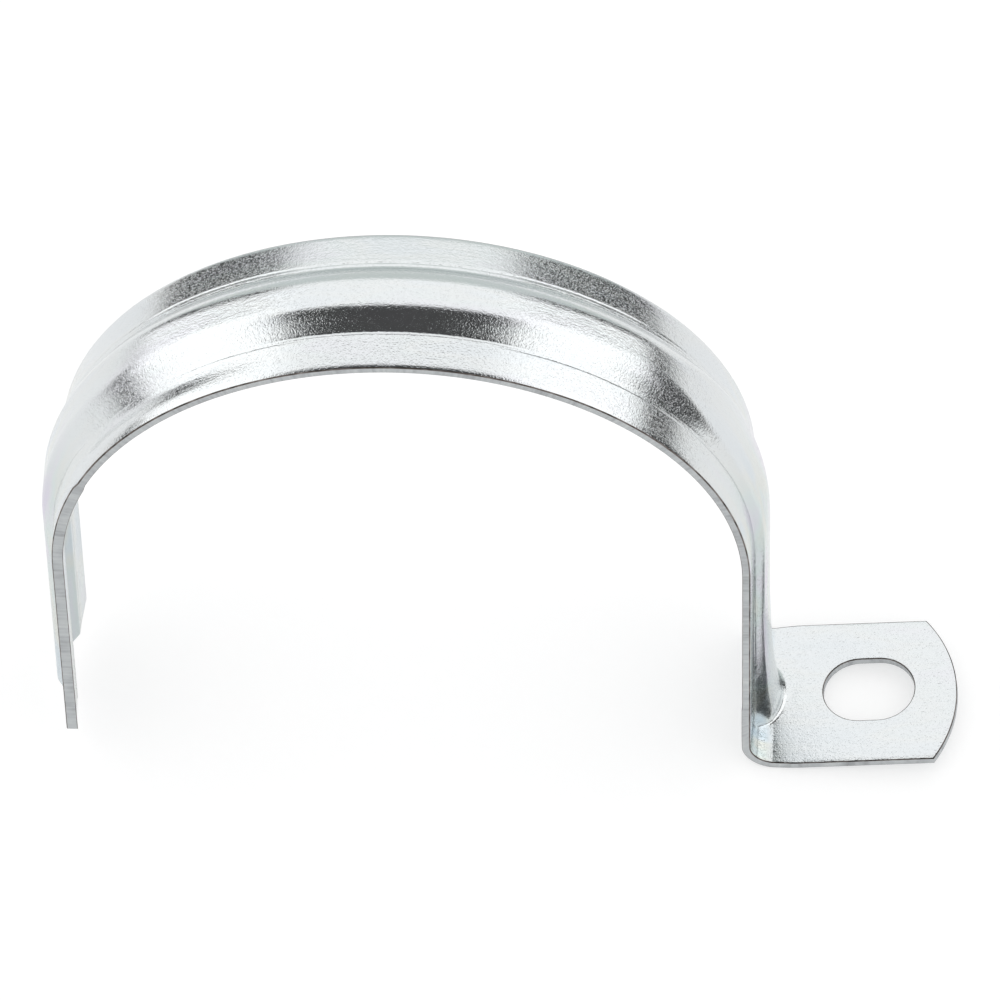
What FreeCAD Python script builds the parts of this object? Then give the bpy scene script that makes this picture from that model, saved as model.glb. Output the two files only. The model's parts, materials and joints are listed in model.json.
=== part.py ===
"""A one-hole strap that holds a 63 mm conduit to a wall: one pressed piece of sheet steel.

The frame has its origin on the conduit's axis, in the middle of the band. +X points from that
axis to the foot, Y runs along the conduit and +Z points away from the wall. Millimetres, degrees.
"""
import FreeCAD, Part
import math
import os

import Sketcher

SIZES = {
    "seat_radius": 31.5,      # inside of the band, round the conduit
    "thickness": 0.8,         # of the sheet, the same everywhere
    "band_width": 15.0,       # of the arch and its legs
    "tail_length": 26.8,      # free leg, from the conduit's axis to its cut end
    "leg_drop": 27.6,         # other leg, from the conduit's axis to the centre of its bend
    "bend_radius": 2.0,       # inside of the bend, on the screw's side
    "foot_raise": 5.9,        # degrees that the foot stands up before the screw pulls it flat
    "foot_reach": 17.3,       # foot, from its bend to the top of its rounded end
    "foot_width": 15.9,
    "foot_taper": 3.0,        # length over which the foot widens from the band
    "end_radius": 13.6,       # rounded end of the foot
    "end_offset": 0.65,       # how far the centre of that end lies to the -Y side
    "slot_reach": 8.87,       # from the bend to the middle of the slot
    "slot_length": 8.7,
    "slot_width": 7.0,
    "slot_offset": 0.25,      # how far the middle of the slot lies to the +Y side
    "rib_width": 8.1,         # where the rib leaves the band
    "rib_height": 1.45,
    "crest_width": 3.7,       # between the sharp corners that the shoulders round off
    "shoulder_radius": 1.0,   # inside of the rib's shoulders
    "toe_rise": 9.0,          # from the bend's centre up to where the rib starts to swell
    "toe_height": 2.95,       # of the swollen rib, where it runs into the foot
    "toe_radius": 5.0,        # of the toe's round front, seen from above
    "toe_width": 6.4,         # between the corners of that front
}

# Lengths that follow from the sizes above, as the sheet's cells are named in an expression.
OUTER_RADIUS = "(Sizes.seat_radius + Sizes.thickness)"
HALF_SHEET = "(Sizes.thickness / 2)"
TOE_START = "(Sizes.toe_rise - Sizes.leg_drop)"
# The rib's side runs in by RIB_RUN over its height. OFFSET_SHIFT is how far the corners of an
# outline move sideways when the whole outline is set back by the sheet's thickness.
RIB_RUN = "((Sizes.rib_width - Sizes.crest_width) / 2)"
RIB_SIDE = f"sqrt({RIB_RUN}^2 + Sizes.rib_height^2)"
OFFSET_SHIFT = f"(Sizes.thickness * ({RIB_SIDE} - {RIB_RUN}) / Sizes.rib_height)"
# The toe is drawn half a sheet below the foot's top and its recess half a sheet below the foot.
TOE_DEPTH = f"(Sizes.toe_rise + Sizes.bend_radius + {HALF_SHEET})"
RECESS_DEPTH = f"({TOE_DEPTH} + Sizes.thickness)"
TOE_SWELL = "(Sizes.toe_height - Sizes.rib_height)"

START, END, CENTRE = 1, 2, 3
ORIGIN = (-1, 1)
ACROSS, ALONG = -1, -2    # a sketch's own horizontal and vertical axis


def fill_sheet(doc):
    """Put every size in a cell of its own, with the size's name as its alias."""
    sheet = doc.addObject("Spreadsheet::Sheet", "Sizes")
    for row, (name, value) in enumerate(SIZES.items(), start=1):
        sheet.set(f"A{row}", name)
        sheet.set(f"B{row}", str(value))
        sheet.setAlias(f"B{row}", name)
    doc.recompute()
    return sheet


class Outline:
    """A sketch of a body, drawn from lines and arcs whose sizes follow expressions."""

    def __init__(self, body, name, role):
        self.sketch = body.newObject("Sketcher::SketchObject", name)
        plane = next(p for p in body.Origin.OriginFeatures if p.Role == role)
        self.sketch.AttachmentSupport = [(plane, "")]
        self.sketch.MapMode = "FlatFace"

    def value(self, expression):
        """The number that an expression gives with the sizes as they are."""
        return float(self.sketch.evalExpression(expression))

    def line(self, start, end):
        return self.sketch.addGeometry(Part.LineSegment(FreeCAD.Vector(*start), FreeCAD.Vector(*end)))

    def arc(self, centre, radius, start_degrees, end_degrees):
        circle = Part.Circle(FreeCAD.Vector(*centre), FreeCAD.Vector(0, 0, 1), radius)
        turn = (math.radians(start_degrees), math.radians(end_degrees))
        return self.sketch.addGeometry(Part.ArcOfCircle(circle, *turn))

    def fix(self, kind, *where):
        self.sketch.addConstraint(Sketcher.Constraint(kind, *where))

    def size(self, kind, *where_and_expression):
        *where, expression = where_and_expression
        number = self.value(expression)
        if kind == "Angle":
            number = math.radians(number)
        index = self.sketch.addConstraint(Sketcher.Constraint(kind, *where, number))
        self.sketch.setExpression(f"Constraints[{index}]", expression)

    def place(self, element, point, x_expression, y_expression):
        """Set a point's distances from the sketch's origin."""
        self.size("DistanceX", *ORIGIN, element, point, x_expression)
        self.size("DistanceY", *ORIGIN, element, point, y_expression)


def draw_side(body):
    """The band's edge: free leg, arch, other leg and the bend into the foot."""
    side = Outline(body, "side_profile", "XZ_Plane")
    seat = side.value("Sizes.seat_radius")
    outer = side.value(OUTER_RADIUS)
    tail = side.value("Sizes.tail_length")
    drop = side.value("Sizes.leg_drop")
    bend = side.value("Sizes.bend_radius")
    heel = bend + side.value("Sizes.thickness")
    turn_end = 270 + side.value("Sizes.foot_raise")
    centre = (outer + bend, -drop, 0)
    reach = (math.cos(math.radians(turn_end)), math.sin(math.radians(turn_end)))
    top_end = (centre[0] + bend * reach[0], centre[1] + bend * reach[1], 0)
    heel_end = (centre[0] + heel * reach[0], centre[1] + heel * reach[1], 0)

    tail_outer = side.line((-outer, -tail, 0), (-outer, 0, 0))
    arch_outer = side.arc((0, 0, 0), outer, 0, 180)
    leg_outer = side.line((outer, 0, 0), (outer, -drop, 0))
    bend_inner = side.arc(centre, bend, 180, turn_end)
    bend_end = side.line(top_end, heel_end)
    bend_outer = side.arc(centre, heel, 180, turn_end)
    leg_inner = side.line((seat, -drop, 0), (seat, 0, 0))
    arch_inner = side.arc((0, 0, 0), seat, 0, 180)
    tail_inner = side.line((-seat, 0, 0), (-seat, -tail, 0))
    tail_end = side.line((-seat, -tail, 0), (-outer, -tail, 0))

    side.fix("Tangent", tail_outer, END, arch_outer, END)
    side.fix("Tangent", arch_outer, START, leg_outer, START)
    side.fix("Tangent", leg_outer, END, bend_inner, START)
    side.fix("Coincident", bend_inner, END, bend_end, START)
    side.fix("Coincident", bend_end, END, bend_outer, END)
    side.fix("Tangent", bend_outer, START, leg_inner, START)
    side.fix("Tangent", leg_inner, END, arch_inner, START)
    side.fix("Tangent", arch_inner, END, tail_inner, START)
    side.fix("Coincident", tail_inner, END, tail_end, START)
    side.fix("Coincident", tail_end, END, tail_outer, START)
    side.fix("Coincident", arch_outer, CENTRE, *ORIGIN)
    side.fix("Coincident", arch_inner, CENTRE, *ORIGIN)
    side.fix("Coincident", bend_outer, CENTRE, bend_inner, CENTRE)
    side.fix("PointOnObject", bend_inner, CENTRE, bend_end)
    for leg in (tail_outer, leg_outer, leg_inner, tail_inner):
        side.fix("Vertical", leg)
    side.fix("Horizontal", tail_end)
    side.size("Radius", arch_inner, "Sizes.seat_radius")
    side.size("Radius", arch_outer, OUTER_RADIUS)
    side.size("Radius", bend_inner, "Sizes.bend_radius")
    side.size("DistanceY", tail_inner, END, *ORIGIN, "Sizes.tail_length")
    side.size("DistanceY", bend_inner, CENTRE, *ORIGIN, "Sizes.leg_drop")
    side.size("DistanceX", bend_inner, CENTRE, bend_inner, END,
              "Sizes.bend_radius * sin(Sizes.foot_raise * 1 deg)")
    return side.sketch


def draw_foot(body):
    """The foot's outline and slot, on its raised top face; +X runs from the bend to the end."""
    foot = Outline(body, "foot_outline", "XY_Plane")
    raise_angle = foot.value("Sizes.foot_raise")
    foot.sketch.AttachmentOffset = FreeCAD.Placement(
        FreeCAD.Vector(0, 0, 0), FreeCAD.Rotation(FreeCAD.Vector(0, 1, 0), -raise_angle))
    foot.sketch.setExpression("AttachmentOffset.Base.x",
                              f"{OUTER_RADIUS} + Sizes.bend_radius * (1 + sin(Sizes.foot_raise * 1 deg))")
    foot.sketch.setExpression("AttachmentOffset.Base.z",
                              "-Sizes.leg_drop - Sizes.bend_radius * cos(Sizes.foot_raise * 1 deg)")
    foot.sketch.setExpression("AttachmentOffset.Rotation.Angle", "-Sizes.foot_raise")

    band_half = foot.value("Sizes.band_width / 2")
    foot_half = foot.value("Sizes.foot_width / 2")
    taper = foot.value("Sizes.foot_taper")
    radius = foot.value("Sizes.end_radius")
    centre = (foot.value("Sizes.foot_reach - Sizes.end_radius"), -foot.value("Sizes.end_offset"), 0)
    front_angle = math.asin((-foot_half - centre[1]) / radius)
    back_angle = math.asin((foot_half - centre[1]) / radius)
    front_x = centre[0] + radius * math.cos(front_angle)
    back_x = centre[0] + radius * math.cos(back_angle)

    start = foot.line((0, band_half, 0), (0, -band_half, 0))
    front_taper = foot.line((0, -band_half, 0), (taper, -foot_half, 0))
    front_side = foot.line((taper, -foot_half, 0), (front_x, -foot_half, 0))
    rounded_end = foot.arc(centre, radius, math.degrees(front_angle), math.degrees(back_angle))
    back_side = foot.line((back_x, foot_half, 0), (taper, foot_half, 0))
    back_taper = foot.line((taper, foot_half, 0), (0, band_half, 0))
    foot.fix("Coincident", start, END, front_taper, START)
    foot.fix("Coincident", front_taper, END, front_side, START)
    foot.fix("Coincident", front_side, END, rounded_end, START)
    foot.fix("Coincident", rounded_end, END, back_side, START)
    foot.fix("Coincident", back_side, END, back_taper, START)
    foot.fix("Coincident", back_taper, END, start, START)
    foot.fix("Horizontal", front_side)
    foot.fix("Horizontal", back_side)
    foot.fix("PointOnObject", start, START, ALONG)
    foot.fix("Symmetric", start, START, start, END, ACROSS)
    foot.fix("Symmetric", front_taper, END, back_taper, START, ACROSS)
    foot.size("DistanceY", start, END, start, START, "Sizes.band_width")
    foot.size("DistanceY", front_taper, END, back_taper, START, "Sizes.foot_width")
    foot.size("DistanceX", *ORIGIN, front_taper, END, "Sizes.foot_taper")
    foot.size("Radius", rounded_end, "Sizes.end_radius")
    foot.place(rounded_end, CENTRE, "Sizes.foot_reach - Sizes.end_radius", "-Sizes.end_offset")

    slot_half = foot.value("Sizes.slot_width / 2")
    slot_y = foot.value("Sizes.slot_offset")
    near_x = foot.value("Sizes.slot_reach - (Sizes.slot_length - Sizes.slot_width) / 2")
    far_x = foot.value("Sizes.slot_reach + (Sizes.slot_length - Sizes.slot_width) / 2")
    near_end = foot.arc((near_x, slot_y, 0), slot_half, 90, 270)
    front_wall = foot.line((near_x, slot_y - slot_half, 0), (far_x, slot_y - slot_half, 0))
    far_end = foot.arc((far_x, slot_y, 0), slot_half, -90, 90)
    back_wall = foot.line((far_x, slot_y + slot_half, 0), (near_x, slot_y + slot_half, 0))
    foot.fix("Tangent", near_end, END, front_wall, START)
    foot.fix("Tangent", front_wall, END, far_end, START)
    foot.fix("Tangent", far_end, END, back_wall, START)
    foot.fix("Tangent", back_wall, END, near_end, START)
    foot.fix("Horizontal", front_wall)
    foot.fix("Horizontal", back_wall)
    foot.size("Radius", near_end, "Sizes.slot_width / 2")
    foot.size("DistanceX", near_end, CENTRE, far_end, CENTRE, "Sizes.slot_length - Sizes.slot_width")
    foot.place(near_end, CENTRE, "Sizes.slot_reach - (Sizes.slot_length - Sizes.slot_width) / 2",
               "Sizes.slot_offset")
    return foot.sketch


def draw_run(body):
    """The line that the rib follows: up the leg from its toe, over the arch and down the tail."""
    run = Outline(body, "rib_run", "XZ_Plane")
    outer = run.value(OUTER_RADIUS)
    leg = run.line((outer, run.value(TOE_START), 0), (outer, 0, 0))
    arch = run.arc((0, 0, 0), outer, 0, 180)
    tail = run.line((-outer, 0, 0), (-outer, -run.value("Sizes.tail_length"), 0))
    run.fix("Tangent", leg, END, arch, START)
    run.fix("Tangent", arch, END, tail, START)
    run.fix("Vertical", leg)
    run.fix("Vertical", tail)
    run.fix("Coincident", arch, CENTRE, *ORIGIN)
    run.size("Radius", arch, OUTER_RADIUS)
    run.size("DistanceY", leg, START, *ORIGIN, f"-{TOE_START}")
    run.size("DistanceY", tail, END, *ORIGIN, "Sizes.tail_length")
    return run.sketch


def draw_ridge(body, name, base, set_back, shoulder):
    """The rib's outline where its toe starts, standing on the plane X = base.

    set_back is 1 for the groove, whose corners lie inside the rib's own, and 0 for the rib.
    The outline reaches half a sheet below its base, so that it overlaps what it joins or cuts.
    """
    ridge = Outline(body, name, "XY_Plane")
    ridge.sketch.setExpression("AttachmentOffset.Base.z", TOE_START)
    crest_half = f"(Sizes.crest_width / 2 - {set_back} * {OFFSET_SHIFT})"
    root_half = f"({crest_half} + {RIB_RUN} * (1 + {HALF_SHEET} / Sizes.rib_height))"
    root_x = ridge.value(f"{base} - {HALF_SHEET}")
    crest_x = ridge.value(f"{base} + Sizes.rib_height")
    crest_y = ridge.value(crest_half)
    root_y = ridge.value(root_half)
    radius = ridge.value(shoulder)
    side_angle = math.degrees(math.atan2(root_y - crest_y, crest_x - root_x))
    # A shoulder turns from the side's direction to the crest's, and ends short of their corner.
    short = radius * math.tan(math.radians(90 - side_angle) / 2)
    side_end = (crest_x - short * math.cos(math.radians(side_angle)),
                crest_y + short * math.sin(math.radians(side_angle)))
    shoulder_y = crest_y - short

    root = ridge.line((root_x, root_y, 0), (root_x, -root_y, 0))
    front_side = ridge.line((root_x, -root_y, 0), (side_end[0], -side_end[1], 0))
    front_shoulder = ridge.arc((crest_x - radius, -shoulder_y, 0), radius, side_angle - 90, 0)
    crest = ridge.line((crest_x, -shoulder_y, 0), (crest_x, shoulder_y, 0))
    back_shoulder = ridge.arc((crest_x - radius, shoulder_y, 0), radius, 0, 90 - side_angle)
    back_side = ridge.line((side_end[0], side_end[1], 0), (root_x, root_y, 0))
    ridge.fix("Coincident", root, END, front_side, START)
    ridge.fix("Tangent", front_side, END, front_shoulder, START)
    ridge.fix("Tangent", front_shoulder, END, crest, START)
    ridge.fix("Tangent", crest, END, back_shoulder, START)
    ridge.fix("Tangent", back_shoulder, END, back_side, START)
    ridge.fix("Coincident", back_side, END, root, START)
    ridge.fix("Symmetric", root, START, root, END, ACROSS)
    ridge.fix("Symmetric", crest, START, crest, END, ACROSS)
    ridge.size("DistanceX", *ORIGIN, root, START, f"{base} - {HALF_SHEET}")
    ridge.size("DistanceX", *ORIGIN, crest, START, f"{base} + Sizes.rib_height")
    ridge.size("DistanceY", root, END, root, START, f"2 * {root_half}")
    ridge.size("Radius", front_shoulder, shoulder)
    ridge.size("Radius", back_shoulder, shoulder)
    ridge.size("Angle", front_side, f"atan({RIB_RUN} / Sizes.rib_height)")
    return ridge.sketch


def draw_toe(body, name, base, set_back, depth, radius):
    """The toe's outline at a depth below its start: a round front on two straight sides.

    The front is three arcs of one circle, one for each of the ridge's shoulders and one for its
    crest, so that the outline has an edge for each of the ridge's.
    """
    toe = Outline(body, name, "XY_Plane")
    toe.sketch.setExpression("AttachmentOffset.Base.z", f"{TOE_START} - {depth}")
    apex = f"({base} + Sizes.rib_height + {TOE_SWELL} * {depth} / {TOE_DEPTH})"
    front_half = f"({radius} * Sizes.toe_width / (2 * Sizes.toe_radius))"
    root_half = f"(Sizes.rib_width / 2 - {set_back} * {OFFSET_SHIFT})"
    root_x = toe.value(f"{base} - {HALF_SHEET}")
    root_y = toe.value(root_half)
    size = toe.value(radius)
    centre_x = toe.value(f"{apex} - {radius}")
    corner_angle = math.degrees(math.asin(toe.value(front_half) / size))
    split_angle = corner_angle / 2
    corner = (centre_x + size * math.cos(math.radians(corner_angle)), toe.value(front_half))

    root = toe.line((root_x, root_y, 0), (root_x, -root_y, 0))
    front_side = toe.line((root_x, -root_y, 0), (corner[0], -corner[1], 0))
    front_arc = toe.arc((centre_x, 0, 0), size, -corner_angle, -split_angle)
    middle_arc = toe.arc((centre_x, 0, 0), size, -split_angle, split_angle)
    back_arc = toe.arc((centre_x, 0, 0), size, split_angle, corner_angle)
    back_side = toe.line((corner[0], corner[1], 0), (root_x, root_y, 0))
    toe.fix("Coincident", root, END, front_side, START)
    toe.fix("Coincident", front_side, END, front_arc, START)
    toe.fix("Coincident", front_arc, END, middle_arc, START)
    toe.fix("Coincident", middle_arc, END, back_arc, START)
    toe.fix("Coincident", back_arc, END, back_side, START)
    toe.fix("Coincident", back_side, END, root, START)
    toe.fix("Coincident", front_arc, CENTRE, middle_arc, CENTRE)
    toe.fix("Coincident", back_arc, CENTRE, middle_arc, CENTRE)
    toe.fix("Symmetric", root, START, root, END, ACROSS)
    toe.fix("Symmetric", front_arc, START, back_arc, END, ACROSS)
    toe.fix("Symmetric", middle_arc, START, middle_arc, END, ACROSS)
    toe.size("DistanceX", *ORIGIN, root, START, f"{base} - {HALF_SHEET}")
    toe.size("DistanceY", root, END, root, START, f"2 * {root_half}")
    toe.size("DistanceX", *ORIGIN, middle_arc, CENTRE, f"{apex} - {radius}")
    toe.size("Radius", middle_arc, radius)
    toe.size("DistanceY", front_arc, START, back_arc, END, f"2 * {front_half}")
    toe.size("DistanceY", middle_arc, START, middle_arc, END,
             f"2 * {radius} * sin(asin({front_half} / {radius}) / 2)")
    return toe.sketch


def draw_heel(body):
    """What lies outside the heel's round: the corner that the toe would otherwise fill."""
    heel = Outline(body, "heel_corner", "XZ_Plane")
    margin = heel.value("Sizes.thickness")
    radius = heel.value("Sizes.bend_radius + Sizes.thickness")
    centre = (heel.value(f"{OUTER_RADIUS} + Sizes.bend_radius"), -heel.value("Sizes.leg_drop"), 0)
    left = centre[0] - radius
    bottom = centre[1] - radius
    round_edge = heel.arc(centre, radius, 180, 270)
    drop = heel.line((centre[0], bottom, 0), (centre[0], bottom - margin, 0))
    floor = heel.line((centre[0], bottom - margin, 0), (left - margin, bottom - margin, 0))
    wall = heel.line((left - margin, bottom - margin, 0), (left - margin, centre[1], 0))
    top = heel.line((left - margin, centre[1], 0), (left, centre[1], 0))
    heel.fix("Coincident", round_edge, END, drop, START)
    heel.fix("Coincident", drop, END, floor, START)
    heel.fix("Coincident", floor, END, wall, START)
    heel.fix("Coincident", wall, END, top, START)
    heel.fix("Coincident", top, END, round_edge, START)
    heel.fix("Vertical", drop)
    heel.fix("Horizontal", floor)
    heel.fix("Vertical", wall)
    heel.fix("Horizontal", top)
    heel.fix("Horizontal", round_edge, START, round_edge, CENTRE)
    heel.fix("Vertical", round_edge, CENTRE, round_edge, END)
    heel.size("Radius", round_edge, "Sizes.bend_radius + Sizes.thickness")
    heel.size("DistanceX", *ORIGIN, round_edge, CENTRE, f"{OUTER_RADIUS} + Sizes.bend_radius")
    heel.size("DistanceY", round_edge, CENTRE, *ORIGIN, "Sizes.leg_drop")
    heel.size("DistanceX", top, START, top, END, "Sizes.thickness")
    heel.size("DistanceY", drop, END, drop, START, "Sizes.thickness")
    return heel.sketch


def pad(body, name, sketch, length, **settings):
    feature = body.newObject("PartDesign::Pad", name)
    feature.Profile = sketch
    feature.setExpression("Length", length)
    for key, value in settings.items():
        setattr(feature, key, value)
    return feature


def pipe(body, kind, name, profile, spine):
    feature = body.newObject(kind, name)
    feature.Profile = profile
    feature.Spine = (spine, ["Edge1", "Edge2", "Edge3"])
    feature.Mode = "Frenet"
    return feature


def loft(body, kind, name, profile, section):
    feature = body.newObject(kind, name)
    feature.Profile = profile
    feature.Sections = [section]
    feature.Ruled = True
    return feature


def build_strap(doc):
    """The strap's body: plain band and foot, then the rib with its toe, then their hollow side."""
    body = doc.addObject("PartDesign::Body", "strap")
    body.Label = "strap"

    pad(body, "band", draw_side(body), "Sizes.band_width", SideType="Symmetric")
    pad(body, "foot", draw_foot(body), "Sizes.thickness", Reversed=True)

    run = draw_run(body)
    rib_outline = draw_ridge(body, "rib_outline", OUTER_RADIUS, 0,
                             "(Sizes.shoulder_radius + Sizes.thickness)")
    toe_outline = draw_toe(body, "toe_outline", OUTER_RADIUS, 0, TOE_DEPTH, "Sizes.toe_radius")
    pipe(body, "PartDesign::AdditivePipe", "rib", rib_outline, run)
    loft(body, "PartDesign::AdditiveLoft", "toe", rib_outline, toe_outline)
    heel = body.newObject("PartDesign::Pocket", "heel_round")
    heel.Profile = draw_heel(body)
    heel.setExpression("Length", "Sizes.band_width")
    heel.SideType = "Symmetric"

    groove_outline = draw_ridge(body, "groove_outline", "Sizes.seat_radius", 1, "Sizes.shoulder_radius")
    recess_outline = draw_toe(body, "recess_outline", "Sizes.seat_radius", 1, RECESS_DEPTH,
                              "(Sizes.toe_radius - Sizes.thickness)")
    pipe(body, "PartDesign::SubtractivePipe", "groove", groove_outline, run)
    loft(body, "PartDesign::SubtractiveLoft", "toe_recess", groove_outline, recess_outline)
    return body


def check(doc, body):
    """Stop if a feature failed, adds or removes nothing, or the strap isn't one valid solid."""
    doc.recompute()
    for item in doc.Objects:
        if "Invalid" in item.State or "Error" in item.State:
            raise RuntimeError(f"{item.Name} didn't recompute: {item.State}")
    features = [f for f in body.Group if hasattr(f, "AddSubShape")]
    for before, after in zip(features, features[1:]):
        if abs(after.Shape.Volume - before.Shape.Volume) < 1e-3:
            raise RuntimeError(f"{after.Name} leaves the volume as it was")
    if body.Shape.isNull() or not body.Shape.isValid() or len(body.Shape.Solids) != 1:
        raise RuntimeError("the strap isn't one valid solid")


def main():
    doc = FreeCAD.newDocument("conduit_strap")
    fill_sheet(doc)
    body = build_strap(doc)
    check(doc, body)
    os.makedirs("parts", exist_ok=True)
    body.Shape.exportStep(f"parts/{body.Label}.step")
    box = body.Shape.optimalBoundingBox(False)
    print(f"strap: {body.Shape.Volume:.1f} mm3, {len(body.Shape.Faces)} faces, "
          f"{box.XLength:.2f} x {box.YLength:.2f} x {box.ZLength:.2f} mm")


main()
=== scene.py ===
"""The conduit strap's looks: a finely meshed pressed strap in bright zinc plate, on white."""
import json
import math

import bmesh
import bpy
import numpy as np
from mathutils import Matrix, Vector


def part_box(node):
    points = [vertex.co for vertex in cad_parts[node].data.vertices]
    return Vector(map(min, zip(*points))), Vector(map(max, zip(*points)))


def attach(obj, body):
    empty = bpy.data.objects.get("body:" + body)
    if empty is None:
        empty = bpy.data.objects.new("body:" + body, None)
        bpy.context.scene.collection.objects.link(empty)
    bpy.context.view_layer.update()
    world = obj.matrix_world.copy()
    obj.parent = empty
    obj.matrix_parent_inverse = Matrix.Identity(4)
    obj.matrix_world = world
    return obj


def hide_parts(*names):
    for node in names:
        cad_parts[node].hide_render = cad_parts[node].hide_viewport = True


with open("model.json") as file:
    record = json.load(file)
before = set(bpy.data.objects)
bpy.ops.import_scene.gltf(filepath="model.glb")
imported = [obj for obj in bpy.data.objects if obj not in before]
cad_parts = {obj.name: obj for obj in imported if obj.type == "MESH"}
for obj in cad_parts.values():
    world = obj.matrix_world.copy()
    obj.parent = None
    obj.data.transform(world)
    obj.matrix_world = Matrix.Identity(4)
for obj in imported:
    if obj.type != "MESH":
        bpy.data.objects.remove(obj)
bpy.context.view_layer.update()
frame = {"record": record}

MM = 0.001

# ---------------------------------------------------------------- sizes, in millimetres
LOW, HIGH = ([value / MM for value in corner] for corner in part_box("strap"))
SEAT_RADIUS = next(m["dims"]["r_mm"] for m in frame["record"]["mounts"] if m["name"] == "conduit_seat")
THICKNESS = 0.8
OUTER_RADIUS = SEAT_RADIUS + THICKNESS
BAND_HALF = 7.5           # half the width of the arch and its legs
FOOT_HALF = HIGH[1]
TAIL_LENGTH = 26.8        # from the conduit's axis down to the tail's cut end
ARCH_LENGTH = math.pi * OUTER_RADIUS

# The bend and the foot. u is measured along the foot from the bend, and y across it.
BEND_RADIUS = 2.0
BEND_CENTRE = (OUTER_RADIUS + BEND_RADIUS, LOW[2] + BEND_RADIUS + THICKNESS)
FOOT_RAISE = math.radians(5.9)
ALONG_FOOT = np.array([math.cos(FOOT_RAISE), math.sin(FOOT_RAISE)])
OFF_FOOT = np.array([-math.sin(FOOT_RAISE), math.cos(FOOT_RAISE)])
FOOT_START = np.array(BEND_CENTRE) - BEND_RADIUS * OFF_FOOT
PLATE_START = 2.6         # where the plate round the slot begins
END_RADIUS = 13.6         # of the foot's rounded end
END_OFFSET = -0.65
FOOT_REACH = 17.3
SLOT_REACH = 8.87         # to the slot's middle
SLOT_LENGTH = 8.7
SLOT_WIDTH = 7.0
SLOT_OFFSET = 0.25

# The rib, and the groove inside it.
RIB_HALF = 4.05
CREST_HALF = 1.85
RIB_HEIGHT = -LOW[0] - OUTER_RADIUS
RIB_DIP = 0.2             # how far the crest sinks on the arch before the leg with the foot
LEG_RIB_HEIGHT = 1.6
LEG_RIB_GROWTH = 0.45     # down the leg with the foot, before the toe flares
LEG_STEEPER = 2.0         # how much steeper the rib's flanks are there, as a share
CREST_CROWN = 13.0        # radius across the rib's crest there
SHOULDER_SOFTNESS = 0.3   # of the corners between crest and flanks
TOP_SOFTER = 0.2          # how much softer they are from the top of the arch to the foot's side
GROOVE_SHIFT = 0.2        # how far the groove's corners lie inside the rib's

# The toe, in which the rib ends at the bend.
TOE_START = -12.4
TOE_HEIGHT = 2.95
TOE_FLARE = 5             # higher is a later and quicker flare
TOE_CROWN = 4.3           # radius across its crest
TOE_SOFTNESS = 0.35       # of its shoulders
TOE_LEAN = 0.85           # turns the depth below the toe, along x, into the distance to it
TOE_FILLET = 0.7          # how far the toe runs out into the foot

# The lands, which are the flats beside the rib.
LAND_RISE = 0.27          # towards the rib
BACK_SHARE = 1.25         # how much more of that rise the back land has
TAIL_SHARE = 0.6          # and how much the front land has on the tail
LAND_WAVE = 0.13          # in the front land, where the arch turns down to the tail
WAVE_SHARE = 0.8          # of that land's rise that the wave takes away
LAND_SOFTNESS = 0.06      # of the corner between land and rib
CREASE_DEPTH = 0.04       # of the fine lines that the tool left along the rib's foot
CREASE_WIDTH = 0.09
ROLL_WIDTH = 0.45         # of the turned-down strip along the cut edges
ROLL_DEPTH = 0.07

# The front edge steps out on the tail's side, and is thicker beyond the step.
NICK_STEP = 0.12
FLARE = 0.24
FLARE_WIDTH = 0.5
FLARE_INSIDE = 0.4        # the share of it on the inside

# Where the band changes on its way over the arch, in degrees round it from +X: each change begins
# at the first angle and is complete at the second.
NICK_TURN = (156.3, 157.3)
WAVE_TURNS = (104, 140), (158, 148)
SOFTER_TURN = (150, 110)
DIP_TURNS = (50, 30), (5, 20)
CROWN_TURN = (42, 8)
LEG_RIB_TURN = (15, 0)

# The bend's section lines fan out from a pivot in the open corner between the leg and the foot.
PIVOT_HEIGHT = 8.0
PIVOT = FOOT_START + PLATE_START * ALONG_FOOT + PIVOT_HEIGHT * OFF_FOOT
PIVOT_REACH = 16.0        # further than any part of the bend
FAN_END = 270 + math.degrees(FOOT_RAISE)
FAN_DEGREES = 8           # that the fan turns in a millimetre of the strip, roughly
FIXED_COLUMNS = 4.8       # columns nearer the middle than this stay put where the band gets wider
HALVINGS = 40             # of a distance that is searched for


# ---------------------------------------------------------------- the strap's form
def smooth_min(a, b, k):
    """The lower of two surfaces, rounded off over a distance k where they cross."""
    share = np.clip(0.5 + 0.5 * (b - a) / k, 0.0, 1.0)
    return b * (1 - share) + a * share - k * share * (1 - share)


def ease(value, low, high):
    """0 at low and 1 at high, with a smooth change between them and none beyond."""
    t = np.clip((value - low) / (high - low), 0.0, 1.0)
    return t * t * (3 - 2 * t)


def along_arch(degrees):
    """The rib's height, roundness and shoulder softness at an angle round the arch from +X."""
    dip = RIB_DIP * ease(degrees, *DIP_TURNS[0]) * ease(degrees, *DIP_TURNS[1])
    height = RIB_HEIGHT - dip + (LEG_RIB_HEIGHT - RIB_HEIGHT) * ease(degrees, *LEG_RIB_TURN)
    rounded = ease(degrees, *CROWN_TURN)
    softness = SHOULDER_SOFTNESS + TOP_SOFTER * ease(degrees, *SOFTER_TURN)
    return height, rounded, softness


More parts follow.
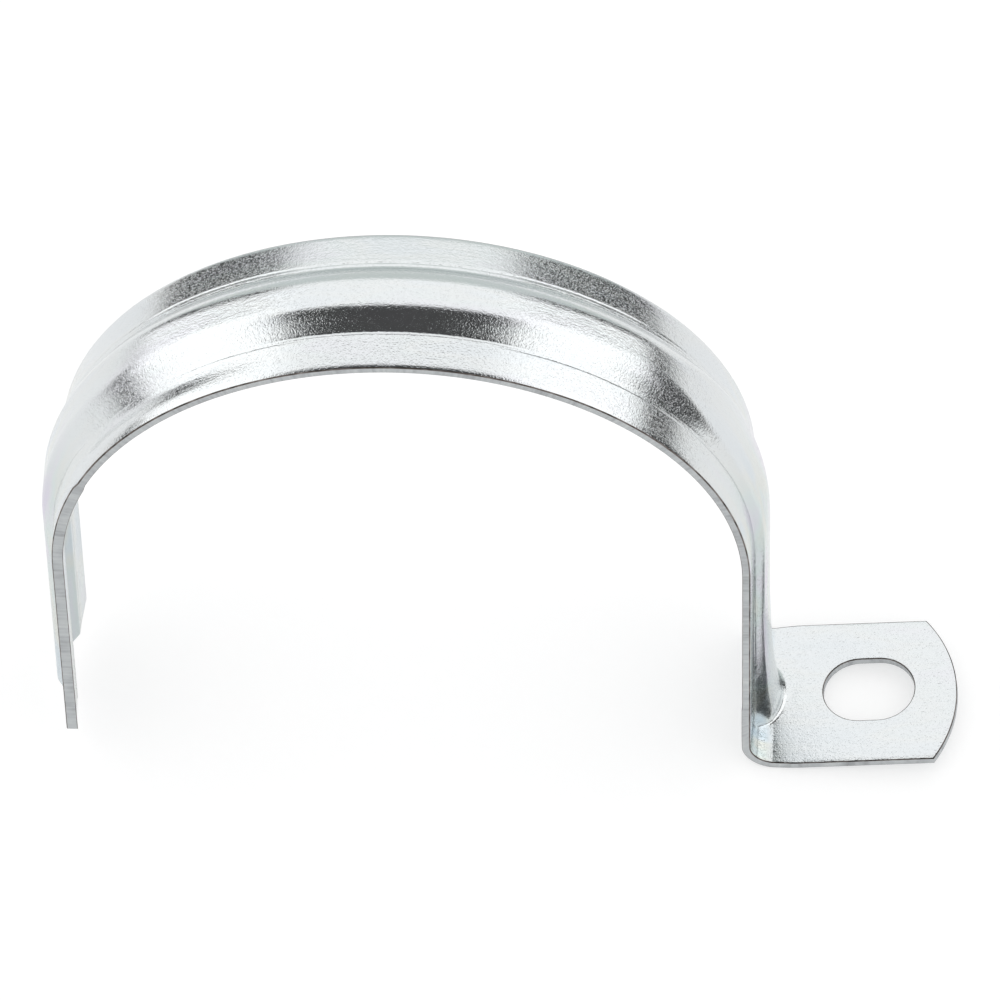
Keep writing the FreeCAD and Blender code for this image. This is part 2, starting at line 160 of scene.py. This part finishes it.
def ridge(y, height, rounded, softness, crown=CREST_CROWN):
    """Height of the rib's flanks and crest over the band's outer face; negative beside the rib.

    rounded goes from 0, a flat crest between the flanks, to 1, a crowned one between steeper flanks.
    """
    across = np.minimum(np.abs(y), RIB_HALF)
    bow = rounded * (crown - np.sqrt(crown ** 2 - across ** 2))
    steepness = RIB_HEIGHT / (RIB_HALF - CREST_HALF) * (1 + LEG_STEEPER * rounded)
    return smooth_min((RIB_HALF - np.abs(y)) * steepness, height - bow, softness)


def toe_ridge(y, z):
    """The rib down the leg: it rises slowly, and flares out into the toe just above the foot."""
    down = np.clip((TOE_START - z) / (TOE_START - FOOT_START[1]), 0.0, 1.0)
    height = LEG_RIB_HEIGHT + LEG_RIB_GROWTH * down
    height = height + (TOE_HEIGHT - LEG_RIB_HEIGHT - LEG_RIB_GROWTH) * down ** TOE_FLARE
    crown = CREST_CROWN + (TOE_CROWN - CREST_CROWN) * down ** 3
    return ridge(y, height, 1.0, TOE_SOFTNESS, crown)


def land(y, front_share=1.0, front_wave=0.0):
    """How far the flat beside the rib stands up from the band's edge towards the rib.

    Close to the edge it turns down, where the shears drew the sheet over. A wave lifts the outer
    half of the front land and sinks its inner half.
    """
    inwards = np.clip((BAND_HALF - np.abs(y)) / (BAND_HALF - RIB_HALF), 0.0, 1.0)
    rise = LAND_RISE * inwards * np.where(y < 0, front_share, BACK_SHARE)
    rise = rise + np.where(y < 0, front_wave, 0.0) * np.sin(2 * math.pi * inwards)
    return rise - ROLL_DEPTH * np.clip((np.abs(y) - BAND_HALF + ROLL_WIDTH) / ROLL_WIDTH, 0.0, 1.0) ** 2


def profile(y, rib, flat):
    """The band's height over its own radius, rib and lands together."""
    crease = CREASE_DEPTH * np.exp(-((np.abs(y) - RIB_HALF) / CREASE_WIDTH) ** 2)
    return -smooth_min(-rib, -flat, LAND_SOFTNESS) - crease


def flare(y, stepped):
    """Extra thickness right at the front edge, beyond the step in that edge."""
    return FLARE * stepped * np.clip((FLARE_WIDTH - BAND_HALF - y) / FLARE_WIDTH, 0.0, 1.0)


def heights(y, rib, front_share=1.0, front_wave=0.0, stepped=0.0):
    """Outer and inner heights over the band's two radii; rib gives the ridge's height at a y."""
    flat = land(y, front_share, front_wave)
    outer = profile(y, rib(y), flat)
    inner = profile(y, rib(np.abs(y) + GROOVE_SHIFT), np.maximum(flat, 0.0))
    edge = flare(y, stepped)
    return outer + edge, inner - FLARE_INSIDE * edge


def leg_clearance(x, z, depth):
    """Distance from a point in the open corner to the plain bent strip, set back by depth."""
    leg = x - OUTER_RADIUS + depth
    foot = (x - FOOT_START[0]) * OFF_FOOT[0] + (z - FOOT_START[1]) * OFF_FOOT[1] + depth
    dx, dz = x - BEND_CENTRE[0], z - BEND_CENTRE[1]
    corner = (dx < 0) & (dx * ALONG_FOOT[0] + dz * ALONG_FOOT[1] < 0) & (dz < 0)
    return np.where(corner, BEND_RADIUS + depth - np.hypot(dx, dz), np.minimum(leg, foot))


def fan_distance(angle, y, depth, shift):
    """How far from the pivot a section line meets the strap, with the toe blended in."""
    near, far = np.zeros_like(y), np.full_like(y, PIVOT_REACH)
    for _ in range(HALVINGS):
        middle = (near + far) / 2
        x = PIVOT[0] + middle * math.cos(angle)
        z = PIVOT[1] + middle * math.sin(angle)
        plain = leg_clearance(x, z, depth) - land(y) * ease(z, FOOT_START[1], BEND_CENTRE[1] + 2)
        toe = (x - OUTER_RADIUS + depth - toe_ridge(np.abs(y) + shift, z)) * TOE_LEAN
        open_air = smooth_min(plain, toe, TOE_FILLET) > 0
        near = np.where(open_air, middle, near)
        far = np.where(open_air, far, middle)
    return (near + far) / 2


# ---------------------------------------------------------------- section lines across the strip
def columns():
    """Places across the band, from front edge to back edge, closest together on the rib's flanks."""
    crest = [0.0, 0.4, 0.8, 1.2, 1.5, 1.75]
    flank = np.arange(1.95, 4.7, 0.1)
    flat = [4.95, 5.3, 5.8, 6.3, 6.7, 7.05, 7.2, 7.35, BAND_HALF]
    half = np.concatenate([crest, flank, flat])
    return np.concatenate([-half[:0:-1], half])


def edge_shape(y, front, back):
    """Moves the outermost columns to the band's edges, leaving the rib's columns in place."""
    grow = np.clip((np.abs(y) - FIXED_COLUMNS) / (BAND_HALF - FIXED_COLUMNS), 0.0, 1.0)
    return y + np.where(y < 0, BAND_HALF - front, back - BAND_HALF) * grow


def section(y, outer, inner, distance):
    """One section line: its outer and inner points and its distance along the strip.

    outer and inner are the (x, z) of the two skins over the places y.
    """
    return np.stack([outer[0], y, outer[1]], axis=1), np.stack([inner[0], y, inner[1]], axis=1), distance


def tail_sections(y0):
    """Up the free leg, from its cut end to the arch."""
    y = edge_shape(y0, BAND_HALF + NICK_STEP, BAND_HALF)
    height, rounded, softness = along_arch(180.0)
    out, inn = heights(y, lambda w: ridge(w, height, rounded, softness), TAIL_SHARE, stepped=1.0)
    for above in np.concatenate([[0.0, 0.35], np.arange(0.9, TAIL_LENGTH - 0.3, 0.9)]):
        z = np.full_like(y, above - TAIL_LENGTH)
        yield section(y, (-OUTER_RADIUS - out, z), (-SEAT_RADIUS - inn, z), above - TAIL_LENGTH)


def arch_sections(y0):
    """Over the arch, from the tail's side to the foot's."""
    for degrees in np.arange(180.0, -0.01, -1.2):
        stepped = ease(degrees, *NICK_TURN)
        y = edge_shape(y0, BAND_HALF + NICK_STEP * stepped, BAND_HALF)
        height, rounded, softness = along_arch(degrees)
        waved = ease(degrees, *WAVE_TURNS[0]) * ease(degrees, *WAVE_TURNS[1])
        out, inn = heights(y, lambda w: ridge(w, height, rounded, softness),
                           1 - WAVE_SHARE * waved, LAND_WAVE * waved, stepped)
        turn = math.radians(degrees)
        x, z = math.cos(turn), math.sin(turn)
        out, inn = OUTER_RADIUS + out, SEAT_RADIUS + inn
        yield section(y, (out * x, out * z), (inn * x, inn * z), (math.pi - turn) * OUTER_RADIUS)


def leg_sections(y0):
    """Down the leg with the foot, to the height of the pivot."""
    for level in np.arange(-0.8, PIVOT[1] + 0.3, -0.8):
        z = np.full_like(y0, level)
        out, inn = heights(y0, lambda w: toe_ridge(w, z))
        yield section(y0, (OUTER_RADIUS + out, z), (SEAT_RADIUS + inn, z), ARCH_LENGTH - level)


def bend_sections(y0):
    """Round the bend, as a fan of lines from the pivot, to where the plate begins."""
    fan = [np.arange(180, 222, 1.5), np.arange(222, 266, 0.5), np.arange(266, 275, 1.5), [FAN_END]]
    for degrees in np.concatenate(fan):
        half = BAND_HALF + (FOOT_HALF - BAND_HALF) * ease(degrees, 232, FAN_END)
        y = edge_shape(y0, half, half)
        angle = math.radians(degrees)
        x, z = math.cos(angle), math.sin(angle)
        out = fan_distance(angle, y, 0.0, 0.0)
        inn = fan_distance(angle, y, THICKNESS, GROOVE_SHIFT)
        yield section(y, (PIVOT[0] + out * x, PIVOT[1] + out * z), (PIVOT[0] + inn * x, PIVOT[1] + inn * z),
                      ARCH_LENGTH - PIVOT[1] + (degrees - 180) / FAN_DEGREES)


def section_rows():
    """Every section line in order, from the tail's cut end over the arch to the plate."""
    y0 = columns()
    return [*tail_sections(y0), *arch_sections(y0), *leg_sections(y0), *bend_sections(y0)]


# ---------------------------------------------------------------- the plate round the slot
def on_foot(u, y, depth=0.0):
    """A point of the foot: u along it from the bend, depth below its top face."""
    point = FOOT_START + u * ALONG_FOOT - depth * OFF_FOOT
    return (point[0], y, point[1])


def plate_outline(first):
    """The foot's edge past the bend, as (u, y) from the back of the first line round to its front."""
    centre_u = FOOT_REACH - END_RADIUS

    def corner_u(y):
        return centre_u + math.sqrt(END_RADIUS ** 2 - (y - END_OFFSET) ** 2)
    back_u, front_u = corner_u(FOOT_HALF), corner_u(-FOOT_HALF)
    outline = [(PLATE_START, y) for y in first]
    outline += [(u, FOOT_HALF) for u in np.linspace(PLATE_START, back_u, 20)[1:]]
    back_turn = math.atan2(FOOT_HALF - END_OFFSET, back_u - centre_u)
    front_turn = math.atan2(-FOOT_HALF - END_OFFSET, front_u - centre_u)
    for turn in np.linspace(back_turn, front_turn, 49)[1:]:
        outline.append((centre_u + END_RADIUS * math.cos(turn), END_OFFSET + END_RADIUS * math.sin(turn)))
    outline += [(u, -FOOT_HALF) for u in np.linspace(front_u, PLATE_START, 20)[1:-1]]
    return outline


def slot_point(u, y):
    """Where the line from the slot's middle to (u, y) crosses the slot's wall."""
    du, dy = u - SLOT_REACH, y - SLOT_OFFSET
    radius, straight = SLOT_WIDTH / 2, (SLOT_LENGTH - SLOT_WIDTH) / 2
    near, far = 0.0, 1.0
    for _ in range(HALVINGS):
        middle = (near + far) / 2
        beyond = max(abs(du * middle) - straight, 0.0)
        if math.hypot(beyond, dy * middle) < radius:
            near = middle
        else:
            far = middle
    return SLOT_REACH + du * near, SLOT_OFFSET + dy * near


# ---------------------------------------------------------------- the strap's mesh
ZINC, CUT, LINE = 0, 1, 2    # the strap's material slots
# Where each kind of face lies on the flat strip, across it, so that no two kinds share a pattern.
UNDERSIDE, SHEARED, SLOT_WALL, FOOT_EDGE = 40, 80, 100, 120
WALL_STEP, FOOT_EDGE_STEP = 0.15, 0.3     # along the strip, for a step round the slot and the foot
OUTER_CORNER, INNER_CORNER, END_CORNER = 1.0, 0.6, 0.5    # how much of the edges' rounding they get


class StrapMesh:
    """The mesh as it is built, with each face's place on the flat strip and each corner's rounding."""

    def __init__(self):
        self.mesh = bmesh.new()
        self.strip = self.mesh.loops.layers.uv.new("strip")
        self.weight = self.mesh.edges.layers.float.new("bevel_weight_edge")

    def vertex(self, point):
        return self.mesh.verts.new(Vector(point) * MM)

    def face(self, corners, places, slot, flip=False):
        """Adds a face with the given places on the strip; flip turns it round."""
        if flip:
            corners, places = corners[::-1], places[::-1]
        made = self.mesh.faces.new(corners)
        made.material_index = slot
        made.smooth = True
        for loop, place in zip(made.loops, places):
            loop[self.strip].uv = place

    def wall(self, a, b, start, end, across, flip=False):
        """Adds a cut face between the (outer, inner) vertices a and b, from start to end along the strip."""
        low, high = across, across + THICKNESS
        places = [(start, high), (start, low), (end, low), (end, high)]
        self.face([a[0], a[1], b[1], b[0]], places, CUT, flip)

    def soften(self, a, b, amount):
        """Marks the edge between two vertices for rounding."""
        self.mesh.edges.get((a, b))[self.weight] = amount

    def finish(self, name):
        """The mesh as an object in the scene."""
        bmesh.ops.recalc_face_normals(self.mesh, faces=self.mesh.faces[:])
        data = bpy.data.meshes.new(name)
        self.mesh.to_mesh(data)
        self.mesh.free()
        made = bpy.data.objects.new(name, data)
        bpy.context.scene.collection.objects.link(made)
        return made


def add_band(mesh, rows):
    """Adds the strip from the tail's cut end to the plate; returns its last outer and inner vertices."""
    outer, inner = ([[mesh.vertex(p) for p in row[skin]] for row in rows] for skin in (0, 1))
    across = [row[0][:, 1] for row in rows]
    along = [row[2] for row in rows]
    last = len(across[0]) - 1
    for i in range(len(rows) - 1):
        n = i + 1
        for j in range(last):
            places = [(along[i], across[i][j]), (along[n], across[n][j]),
                      (along[n], across[n][j + 1]), (along[i], across[i][j + 1])]
            mesh.face([outer[i][j], outer[n][j], outer[n][j + 1], outer[i][j + 1]], places, ZINC)
            under = [(u, y + UNDERSIDE) for u, y in places]
            mesh.face([inner[i][j], inner[n][j], inner[n][j + 1], inner[i][j + 1]], under, ZINC, flip=True)
        for j in (0, last):
            mesh.wall((outer[i][j], inner[i][j]), (outer[n][j], inner[n][j]),
                      along[i], along[n], SHEARED, flip=j == last)
            mesh.soften(outer[i][j], outer[n][j], OUTER_CORNER)
            mesh.soften(inner[i][j], inner[n][j], INNER_CORNER)
    for j in range(last):
        places = [(SHEARED + THICKNESS, across[0][j + 1]), (SHEARED, across[0][j + 1]),
                  (SHEARED, across[0][j]), (SHEARED + THICKNESS, across[0][j])]
        mesh.face([outer[0][j + 1], inner[0][j + 1], inner[0][j], outer[0][j]], places, CUT)
        mesh.soften(outer[0][j], outer[0][j + 1], END_CORNER)
        mesh.soften(inner[0][j], inner[0][j + 1], END_CORNER)
    for j in (0, last):
        mesh.soften(outer[0][j], inner[0][j], INNER_CORNER)
    return outer[-1], inner[-1]


def add_plate(mesh, band_end, across, base):
    """Adds the foot past the bend, as rings from its outline in to the slot's wall.

    band_end holds the band's last outer and inner vertices, across their places, and base how far
    along the strip u starts.
    """
    last = len(across) - 1
    outline = plate_outline(across)
    count = len(outline)
    slot_edge = [slot_point(u, y) for u, y in outline]
    shares = (0.0, 0.12, 0.3, 0.5, 0.7, 0.86, 0.95, 1.0)

    def inwards(k, share):
        """The (u, y) a share of the way from the outline's point k to the slot's wall."""
        (u, y), (slot_u, slot_y) = outline[k], slot_edge[k]
        return u + (slot_u - u) * share, y + (slot_y - y) * share

    def rings(row, depth):
        made = [[row[k] if k <= last else mesh.vertex(on_foot(*inwards(k, 0.0), depth)) for k in range(count)]]
        for share in shares[1:]:
            made.append([mesh.vertex(on_foot(*inwards(k, share), depth)) for k in range(count)])
        return made

    def places_between(k, n, start, end, side):
        corners = (inwards(k, start), inwards(k, end), inwards(n, end), inwards(n, start))
        return [(base + u, y + side) for u, y in corners]

    top, under = rings(band_end[0], 0.0), rings(band_end[1], THICKNESS)
    for skin, side in ((top, 0), (under, UNDERSIDE)):
        for r in range(len(shares) - 1):
            for k in range(count):
                n = (k + 1) % count
                mesh.face([skin[r][k], skin[r + 1][k], skin[r + 1][n], skin[r][n]],
                          places_between(k, n, shares[r], shares[r + 1], side), ZINC, flip=side > 0)
    for k in range(count):
        n = (k + 1) % count
        mesh.wall((top[-1][k], under[-1][k]), (top[-1][n], under[-1][n]),
                  k * WALL_STEP, (k + 1) * WALL_STEP, SLOT_WALL)
        mesh.soften(top[-1][k], top[-1][n], OUTER_CORNER)
        mesh.soften(under[-1][k], under[-1][n], END_CORNER)
        if k >= last:
            mesh.wall((top[0][n], under[0][n]), (top[0][k], under[0][k]),
                      (k + 1) * FOOT_EDGE_STEP, k * FOOT_EDGE_STEP, FOOT_EDGE)
            mesh.soften(top[0][k], top[0][n], OUTER_CORNER)
            mesh.soften(under[0][k], under[0][n], INNER_CORNER)


def build_strap():
    """The strap: two skins joined by the cut edges, with the slot through its plate."""
    mesh = StrapMesh()
    rows = section_rows()
    outer, _, distance = rows[-1]
    add_plate(mesh, add_band(mesh, rows), outer[:, 1], distance - PLATE_START)
    return mesh.finish("pressed_strap")


# ---------------------------------------------------------------- materials
def node(tree, kind, inputs=None, **settings):
    """A new node with its settings made and its inputs set to values or linked to sockets."""
    made = tree.nodes.new(kind)
    for key, value in settings.items():
        setattr(made, key, value)
    for key, value in (inputs or {}).items():
        if isinstance(value, bpy.types.NodeSocket):
            tree.links.new(value, made.inputs[key])
        else:
            made.inputs[key].default_value = value
    return made


def calc(tree, operation, *values):
    """The result socket of one arithmetic node."""
    return node(tree, "ShaderNodeMath", dict(enumerate(values)), operation=operation).outputs[0]


def between(tree, value, low, high, start=0.0, end=1.0):
    """start below low and end above high, with a smooth change between them."""
    return node(tree, "ShaderNodeMapRange", {0: value, 1: low, 2: high, 3: start, 4: end},
                interpolation_type="SMOOTHSTEP").outputs[0]


def mix(tree, share, low, high):
    """low where share is 0, high where it is 1."""
    return node(tree, "ShaderNodeMix", {0: share, 2: low, 3: high}, data_type="FLOAT").outputs[0]


def blend(tree, share, first, second):
    """The first colour where share is 0, the second where it is 1."""
    return node(tree, "ShaderNodeMix", {0: share, 6: first, 7: second}, data_type="RGBA").outputs[2]


def shade(tree, value, stops):
    """A colour ramp through the (position, colour) stops."""
    ramp = node(tree, "ShaderNodeValToRGB", {0: value})
    elements = ramp.color_ramp.elements
    while len(elements) < len(stops):
        elements.new(0.5)
    for element, (position, colour) in zip(elements, stops):
        element.position = position
        element.color = (*colour, 1.0)
    return ramp.outputs[0]


def noise(tree, where, scale, detail=2.0, stretch=(1.0, 1.0, 1.0), rough=0.5):
    """Seamless noise from 0 to 1, with scale given per millimetre."""
    placed = node(tree, "ShaderNodeMapping", {"Vector": where, "Scale": [s * scale for s in stretch]})
    return node(tree, "ShaderNodeTexNoise", {"Vector": placed.outputs[0], "Scale": 1.0, "Detail": detail,
                                             "Roughness": rough}).outputs[0]


def split(tree, vector):
    """The x, y and z sockets of a vector."""
    return node(tree, "ShaderNodeSeparateXYZ", {0: vector}).outputs


def in_millimetres(tree):
    """Where a surface point is, in millimetres from the conduit's axis."""
    coordinates = node(tree, "ShaderNodeTexCoord")
    return node(tree, "ShaderNodeVectorMath", {0: coordinates.outputs["Object"], 3: 1 / MM},
                operation="SCALE").outputs[0]


def along_strip(tree):
    """Where a surface point is on the flat strip, in millimetres along and across it."""
    return node(tree, "ShaderNodeUVMap", uv_map="strip").outputs[0]


def surface(name):
    """A new material, its tree and its Principled shader."""
    material = bpy.data.materials.new(name)
    material.use_nodes = True
    tree = material.node_tree
    return material, tree, tree.nodes["Principled BSDF"]


def bump(tree, shader, height, strength, distance):
    """Raises the surface by height, where distance is in millimetres."""
    raised = node(tree, "ShaderNodeBump", {"Strength": strength, "Distance": distance * MM, "Height": height})
    tree.links.new(raised.outputs[0], shader.inputs["Normal"])


PLAIN_ZINC = (0.70, 0.72, 0.73, 1.0)
# A darker copy of the plate for the underside, inside the arch and in the groove: painted shade.
SHADED_UNDERSIDE_ZINC = (0.36, 0.40, 0.42, 1.0)
ZINC_TINTS = ((0.30, (0.48, 0.57, 0.63)), (0.40, (0.57, 0.63, 0.66)), (0.47, (0.62, 0.64, 0.60)),
              (0.53, (0.57, 0.64, 0.63)), (0.60, (0.61, 0.61, 0.66)), (0.70, (0.59, 0.55, 0.67)))
CUT_GREYS = ((0.32, (0.34, 0.35, 0.36)), (0.5, (0.50, 0.52, 0.53)), (0.68, (0.60, 0.62, 0.62)))
# Painted dark reflection along the rounded edges, in browns.
EDGE_REFLECTION_BROWNS = ((0.35, (0.06, 0.055, 0.05)), (0.5, (0.14, 0.12, 0.11)), (0.7, (0.28, 0.26, 0.25)))


def zinc_plate():
    """Bright zinc plate on rolled steel: a fine matt grain, faint rolling streaks, faint tints, and painted
    shade on the underside.
    """
    material, tree, shader = surface("zinc_plate")
    place, strip = in_millimetres(tree), along_strip(tree)
    shader.inputs["Metallic"].default_value = 1.0

    # The tints show on the legs, and hardly on the top of the arch and on the foot.
    tint = noise(tree, strip, 0.25, detail=3.0, stretch=(0.22, 1.0, 1.0))
    x, _, z = split(tree, place)
    plain = calc(tree, "MAXIMUM", between(tree, z, 2, 16), between(tree, x, FOOT_START[0] - 1, FOOT_START[0]))
    plain = calc(tree, "MULTIPLY", plain, 0.85)
    colour = blend(tree, plain, shade(tree, tint, ZINC_TINTS), PLAIN_ZINC)
    # Painted shade: the underside faces, inside the arch and in the groove, blend a third of the way to a
    # darker zinc.
    inside = calc(tree, "GREATER_THAN", split(tree, strip)[1], UNDERSIDE / 2)
    colour = blend(tree, calc(tree, "MULTIPLY", inside, 0.35), colour, SHADED_UNDERSIDE_ZINC)
    tree.links.new(colour, shader.inputs["Base Color"])

    specks = noise(tree, place, 3.6, detail=1.0)
    tree.links.new(between(tree, specks, 0.35, 0.7, 0.13, 0.22), shader.inputs["Roughness"])

    grain = noise(tree, place, 3.3, detail=3.0, rough=0.65)
    streak = noise(tree, strip, 4.0, detail=3.0, stretch=(0.16, 1.0, 1.0))
    pits = between(tree, noise(tree, place, 6.0, detail=1.0), 0.5, 0.72)
    relief = calc(tree, "ADD", streak, calc(tree, "MULTIPLY_ADD", pits, -0.5, grain))
    bump(tree, shader, relief, strength=1.0, distance=0.013)
    return material


def cut_edge():
    """Sheared steel edge: greyer and more matt, with shear marks through the thickness."""
    material, tree, shader = surface("cut_edge")
    place, strip = in_millimetres(tree), along_strip(tree)
    shader.inputs["Metallic"].default_value = 1.0
    shear = noise(tree, strip, 2.4, detail=3.0, stretch=(1.0, 0.12, 1.0))
    patches = noise(tree, place, 0.5, detail=3.0)
    mixed = calc(tree, "MULTIPLY_ADD", shear, 0.5, calc(tree, "MULTIPLY", patches, 0.5))
    tree.links.new(shade(tree, mixed, CUT_GREYS), shader.inputs["Base Color"])
    tree.links.new(calc(tree, "MULTIPLY_ADD", patches, 0.2, 0.42), shader.inputs["Roughness"])
    bump(tree, shader, mixed, strength=0.8, distance=0.03)
    return material


def edge_line():
    """The rounded corner between the plated faces and the cut edge: its dark browns are a painted dark
    reflection of the rounding.
    """
    material, tree, shader = surface("edge_line")
    shader.inputs["Metallic"].default_value = 1.0
    shader.inputs["Roughness"].default_value = 0.4
    # Mottles the painted dark reflection along the edges.
    reflection_mottle = noise(tree, in_millimetres(tree), 0.8, detail=4.0)
    tree.links.new(shade(tree, reflection_mottle, EDGE_REFLECTION_BROWNS), shader.inputs["Base Color"])
    return material


def dress(strap):
    """Gives the strap its materials and its rounded edges, and puts it in the solid's place."""
    for material in (zinc_plate(), cut_edge(), edge_line()):
        strap.data.materials.append(material)
    bevel = strap.modifiers.new("rounded edges", "BEVEL")
    bevel.limit_method = "WEIGHT"
    bevel.width = 0.34 * MM
    bevel.segments = 3
    # The rounded edges get the painted dark reflection.
    bevel.material = LINE
    bevel.harden_normals = False
    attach(strap, "root")
    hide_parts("strap")


# ---------------------------------------------------------------- studio
# How bright the studio is, where 1 is white: two side panels in front, a panel overhead, the ground,
# the far wall, the dark sides behind, the gaps between the panels, and all of it to matt surfaces.
PANEL, OVERHEAD, GROUND, FAR, SHADE, GAP, EVEN = 1.5, 1.25, 0.9, 0.78, 0.04, 0.07, 0.95
FAR_TINT = (0.94, 1.0, 0.98, 1.0)
STUDIO_TURN = 2.5         # degrees that the studio stands round to the left
FLOOR_SIZE = 0.9          # metres
FLOOR_GREY = (0.6, 0.6, 0.6, 1.0)
FLOOR_GLOW = 0.5          # makes the floor white together with the light on it

YAW, PITCH, ROLL = math.radians(3.70), math.radians(54.63), math.radians(-1.78)
TARGET = Vector((8.81, 0.0, 1.45)) * MM
CAMERA_DISTANCE = 1.0
LENS, SENSOR = 387.83, 36.0


def build_floor():
    """A plain white floor that keeps the strap's shadow."""
    bpy.ops.mesh.primitive_plane_add(size=FLOOR_SIZE, location=(0, 0, LOW[2] * MM))
    floor = bpy.context.object
    floor.name = "floor"
    material, tree, shader = surface("white_floor")
    shader.inputs["Base Color"].default_value = FLOOR_GREY
    shader.inputs["Roughness"].default_value = 0.9
    shader.inputs["Specular IOR Level"].default_value = 0.0
    path = node(tree, "ShaderNodeLightPath")
    seen = calc(tree, "MAXIMUM", path.outputs["Is Camera Ray"], path.outputs["Is Glossy Ray"])
    seen = calc(tree, "MAXIMUM", seen, path.outputs["Is Transmission Ray"])
    shader.inputs["Emission Color"].default_value = (1.0, 1.0, 1.0, 1.0)
    tree.links.new(calc(tree, "MULTIPLY", seen, FLOOR_GLOW), shader.inputs["Emission Strength"])
    floor.data.materials.append(material)


def far_wall(tree, dy):
    """1 where a direction meets the far wall."""
    return between(tree, dy, 0.75, 0.81)


def studio_level(tree, turn, dy, left):
    """The studio's brightness in a direction, for reflections.

    turn is the angle round the conduit's axis from the studio's top, in degrees either way, left
    says which way, and dy is how far the direction points to the back.
    """
    # A dark horizon, which lies further out towards the back, and wider on the right.
    outward = calc(tree, "SUBTRACT", turn, between(tree, dy, 0.3, 0.58, 0, 8))
    low = calc(tree, "SUBTRACT", outward, mix(tree, left, 79, 84))
    high = calc(tree, "SUBTRACT", outward, mix(tree, left, 101, 93))
    horizon = calc(tree, "MULTIPLY", between(tree, low, -2, 2), between(tree, high, -3, 3, 1, 0))
    # The camera leaves a gap between the panels.
    camera_gap = calc(tree, "MULTIPLY", between(tree, turn, 32.5, 36.5, 1, 0),
                      between(tree, dy, 0.2, 0.4, 1, 0))

    # In front, overhead, the side panels and the ground follow one another downwards.
    front = between(tree, turn, 30, 42, OVERHEAD, PANEL)
    front = mix(tree, between(tree, turn, 84, 100), front, GROUND)
    front = mix(tree, camera_gap, front, GAP)
    front = mix(tree, horizon, front, GAP)
    # Behind, the sides are dark, down to the ground and back to the far wall.
    behind = mix(tree, between(tree, turn, 34, 50), OVERHEAD, SHADE)
    behind = mix(tree, between(tree, turn, 95, 105), behind, GROUND)
    behind = mix(tree, far_wall(tree, dy), behind, FAR)
    return mix(tree, between(tree, dy, 0.62, 0.655), front, behind)


def build_light():
    """A studio all round the strap, by direction: white panels with dark gaps between them.

    Only reflections see the gaps; the rest of the light is even.
    """
    world = bpy.data.worlds.new("studio")
    bpy.context.scene.world = world
    world.use_nodes = True
    tree = world.node_tree
    dx, dy, dz = split(tree, node(tree, "ShaderNodeTexCoord").outputs["Generated"])
    turn = calc(tree, "DEGREES", calc(tree, "ARCTAN2", dx, dz))
    left = calc(tree, "LESS_THAN", turn, 0.0)
    turn = calc(tree, "ABSOLUTE", calc(tree, "ADD", turn, STUDIO_TURN))

    path = node(tree, "ShaderNodeLightPath")
    reflected, shown = path.outputs["Is Glossy Ray"], path.outputs["Is Camera Ray"]
    shown = calc(tree, "MAXIMUM", shown, path.outputs["Is Transmission Ray"])
    strength = mix(tree, reflected, EVEN, studio_level(tree, turn, dy, left))
    strength = mix(tree, shown, strength, 1.0)
    wall = calc(tree, "MULTIPLY", far_wall(tree, dy), reflected)
    background = tree.nodes["Background"]
    tree.links.new(strength, background.inputs["Strength"])
    tree.links.new(blend(tree, wall, (1.0, 1.0, 1.0, 1.0), FAR_TINT), background.inputs["Color"])


def build_camera():
    """A long lens from the front and above, as the photograph's."""
    back = Vector((math.sin(YAW) * math.cos(PITCH), -math.cos(YAW) * math.cos(PITCH), math.sin(PITCH)))
    level = Vector((math.cos(YAW), math.sin(YAW), 0.0))
    upright = back.cross(level)
    right = math.cos(ROLL) * level + math.sin(ROLL) * upright
    up = back.cross(right)
    data = bpy.data.cameras.new("camera")
    data.lens, data.sensor_width = LENS, SENSOR
    camera = bpy.data.objects.new("camera", data)
    matrix = Matrix((right, up, back)).transposed().to_4x4()
    matrix.translation = TARGET + back * CAMERA_DISTANCE
    camera.matrix_world = matrix
    bpy.context.scene.collection.objects.link(camera)
    bpy.context.scene.camera = camera


def main():
    """Builds the scene."""
    bpy.context.scene.view_settings.view_transform = "Standard"
    dress(build_strap())
    build_floor()
    build_light()
    build_camera()


main()
